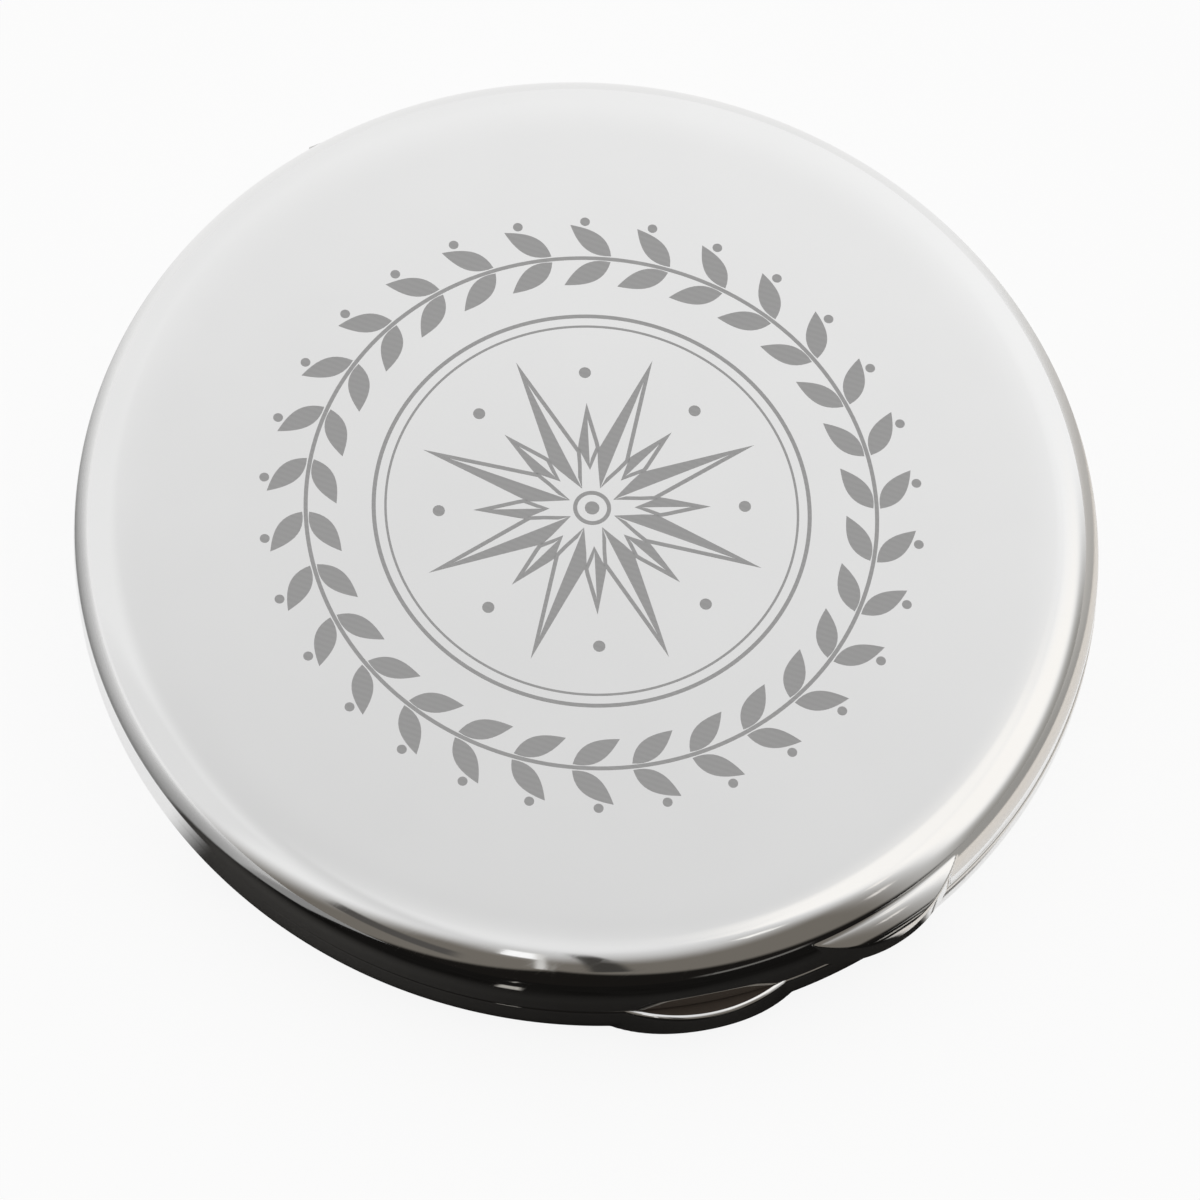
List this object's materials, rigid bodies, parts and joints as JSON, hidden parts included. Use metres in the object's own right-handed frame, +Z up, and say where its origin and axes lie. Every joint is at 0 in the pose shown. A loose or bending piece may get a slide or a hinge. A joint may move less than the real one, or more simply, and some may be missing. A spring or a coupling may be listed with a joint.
{
  "type": "compact mirror",
  "caption": "Round pillow-shaped pocket mirror in polished plate: hinged lid with staggered thumb tabs, plain mirror in the lid, magnifying mirror in the base, snap catch.",
  "frame": {"origin": "middle of the flat underside of the base", "axes": "+Z up through the lid, -Y towards the thumb tabs, +Y towards the hinge, +X to the right seen from the tabs"},
  "size_m": [0.07, 0.0711, 0.0104],
  "materials": {
    "shell_plate": "polished nickel plate",
    "liner_plate": "satin nickel plate, turned",
    "bezel_plate": "polished",
    "mirror_glass": "silvered glass",
    "adhesive_foam": "white foam, adhesive on both faces",
    "hinge_steel": "nickel plated",
    "rivet_steel": "nickel plated",
    "spring_steel": "tempered spring strip"
  },
  "bodies": {
    "base": {"base_shell": "shell_plate", "base_liner": "liner_plate", "base_mirror_pad": "adhesive_foam", "base_mirror": "mirror_glass", "base_bezel": "bezel_plate", "base_hinge_leaf": "hinge_steel", "base_hinge_rivets": "rivet_steel", "hinge_pin": "hinge_steel", "catch_spring_rivet": "rivet_steel"},
    "lid": {"lid_shell": "shell_plate", "lid_liner": "liner_plate", "lid_mirror_pad": "adhesive_foam", "lid_mirror": "mirror_glass", "lid_bezel": "bezel_plate", "lid_hinge_leaf": "hinge_steel", "lid_hinge_rivets": "rivet_steel", "catch_tongue": "spring_steel", "catch_tongue_rivets": "rivet_steel"},
    "catch": {"catch_spring": "spring_steel"}
  },
  "joints": [
    {"name": "lid_hinge", "type": "hinge", "parent": "base", "child": "lid", "pos_m": [0, 0.0346, 0.0049], "axis": [-1, 0, 0], "range_deg": [0, 140]},
    {"name": "catch_flex", "type": "hinge", "parent": "base", "child": "catch", "pos_m": [-0.008, -0.03072, 0.00425], "axis": [0, 0, 1], "range_deg": [0, 2.5], "stiffness_Nm_per_rad": 0.08}
  ]
}
